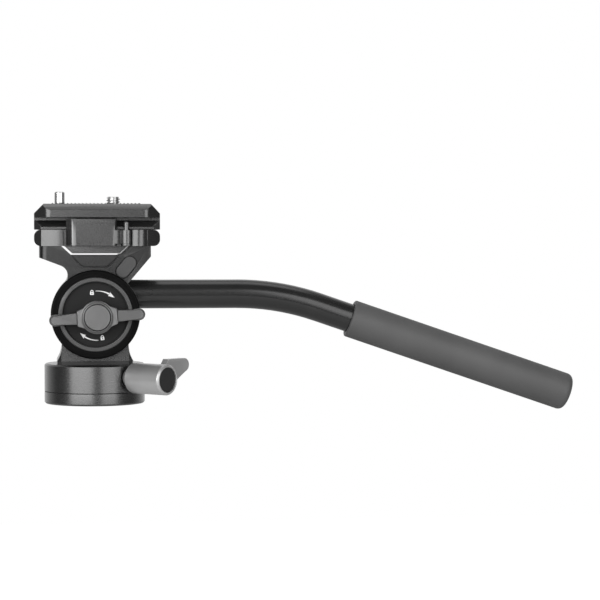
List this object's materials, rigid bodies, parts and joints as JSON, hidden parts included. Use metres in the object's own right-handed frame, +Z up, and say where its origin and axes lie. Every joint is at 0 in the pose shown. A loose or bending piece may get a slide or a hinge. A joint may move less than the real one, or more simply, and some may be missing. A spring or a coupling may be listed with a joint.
{
  "type": "fluid video head",
  "caption": "Compact pan and tilt video head with fluid drag, wing locks, a quick-release plate in a lever clamp, and a bent pan bar with a foam grip.",
  "frame": {"origin": "centre of the base's underside, at the mouth of the tripod thread, on the pan axis", "axes": "+Z up along the pan axis, +X along the pan bar towards the operator, -Y the side with the tilt dial"},
  "size_m": [0.2583, 0.0607, 0.1045],
  "materials": {
    "dark_anodised": "satin dark grey anodised",
    "satin_grey": "bead-blasted grey anodised",
    "black_anodised": "satin black anodised",
    "bezel_grey": "turned grey anodised",
    "knob_grey": "bead-blasted titanium grey",
    "lock_grey": "satin light grey anodised",
    "steel": "turned",
    "black_screw": "black oxide",
    "dial_print": "matt black with a printed scale",
    "black_plastic": "matt",
    "bearing_plastic": "smooth",
    "bronze": "sintered",
    "pad_rubber": "ribbed",
    "plug_rubber": "matt",
    "grip_foam": "fine closed-cell foam"
  },
  "bodies": {
    "mount_base": {"base_plate": "dark_anodised", "tripod_bush": "steel", "pan_spindle": "steel", "spindle_screws": "black_screw", "pan_washer": "black_plastic", "pan_nut": "steel"},
    "pan_head": {"pan_drum": "dark_anodised", "pan_brake_shoe": "bronze", "pedestal_spacer": "black_plastic", "pedestal": "satin_grey", "pedestal_screws": "black_screw", "tilt_bushings": "bronze", "tilt_damper": "black_plastic"},
    "pan_lock": {"pan_lock_knob": "lock_grey", "pan_lock_cap": "black_plastic", "pan_lock_stud": "steel"},
    "tilt_head": {"cradle": "satin_grey", "trough_block": "satin_grey", "arm_plug": "plug_rubber", "tilt_shaft": "steel", "tilt_washers": "bearing_plastic", "dial_ring": "black_anodised", "dial_bezel": "bezel_grey", "dial_face": "dial_print", "far_cap": "black_anodised", "pan_bar": "black_anodised", "bar_grub_screw": "black_screw", "grip": "grip_foam", "clamp_body": "satin_grey", "clamp_screws": "black_screw", "fixed_jaw": "satin_grey", "jaw_screws": "black_screw", "lever_pin": "steel"},
    "tilt_lock": {"tilt_knob": "knob_grey", "tilt_knob_cap": "knob_grey", "tilt_stud": "steel"},
    "release_lever": {"release_lever": "satin_grey"},
    "sliding_jaw": {"sliding_jaw": "satin_grey"},
    "qr_plate": {"qr_plate": "satin_grey", "plate_pad": "pad_rubber", "pin_plug": "black_screw", "pin_spring": "steel"},
    "camera_screw": {"camera_screw": "steel"},
    "video_pin": {"video_pin": "steel"}
  },
  "joints": [
    {"name": "pan", "type": "hinge", "parent": "mount_base", "child": "pan_head", "pos_m": [0, 0, 0], "axis": [0, 0, 1], "continuous": true},
    {"name": "pan_lock_turn", "type": "hinge", "parent": "pan_head", "child": "pan_lock", "pos_m": [0, 0, 0.0126], "axis": [0.7071, -0.7071, 0], "range_deg": [0, 150]},
    {"name": "tilt", "type": "hinge", "parent": "pan_head", "child": "tilt_head", "pos_m": [0, 0, 0.0423], "axis": [0, -1, 0], "range_deg": [-45, 90]},
    {"name": "tilt_lock_turn", "type": "hinge", "parent": "tilt_head", "child": "tilt_lock", "pos_m": [0.0007, -0.025, 0.0412], "axis": [0, -1, 0], "range_deg": [0, 180]},
    {"name": "lever_swing", "type": "hinge", "parent": "tilt_head", "child": "release_lever", "pos_m": [0.0144, -0.0186, 0.078], "axis": [0, 0, 1], "range_deg": [0, 95]},
    {"name": "jaw_slide", "type": "slide", "parent": "tilt_head", "child": "sliding_jaw", "axis": [0, -1, 0], "range_m": [0, 0.0015]},
    {"name": "plate_slide", "type": "slide", "parent": "tilt_head", "child": "qr_plate", "axis": [1, 0, 0], "range_m": [-0.01, 0.01]},
    {"name": "camera_screw_turn", "type": "hinge", "parent": "qr_plate", "child": "camera_screw", "pos_m": [0.0089, 0, 0.09], "axis": [0, 0, 1], "continuous": true},
    {"name": "video_pin_press", "type": "slide", "parent": "qr_plate", "child": "video_pin", "axis": [0, 0, -1], "range_m": [0, 0.0055], "stiffness_N_per_m": 200, "deforming": ["pin_spring"]}
  ],
  "couplings": [
    {"joint": "jaw_slide", "follows": "lever_swing", "m_per_rad": 0.0009}
  ]
}
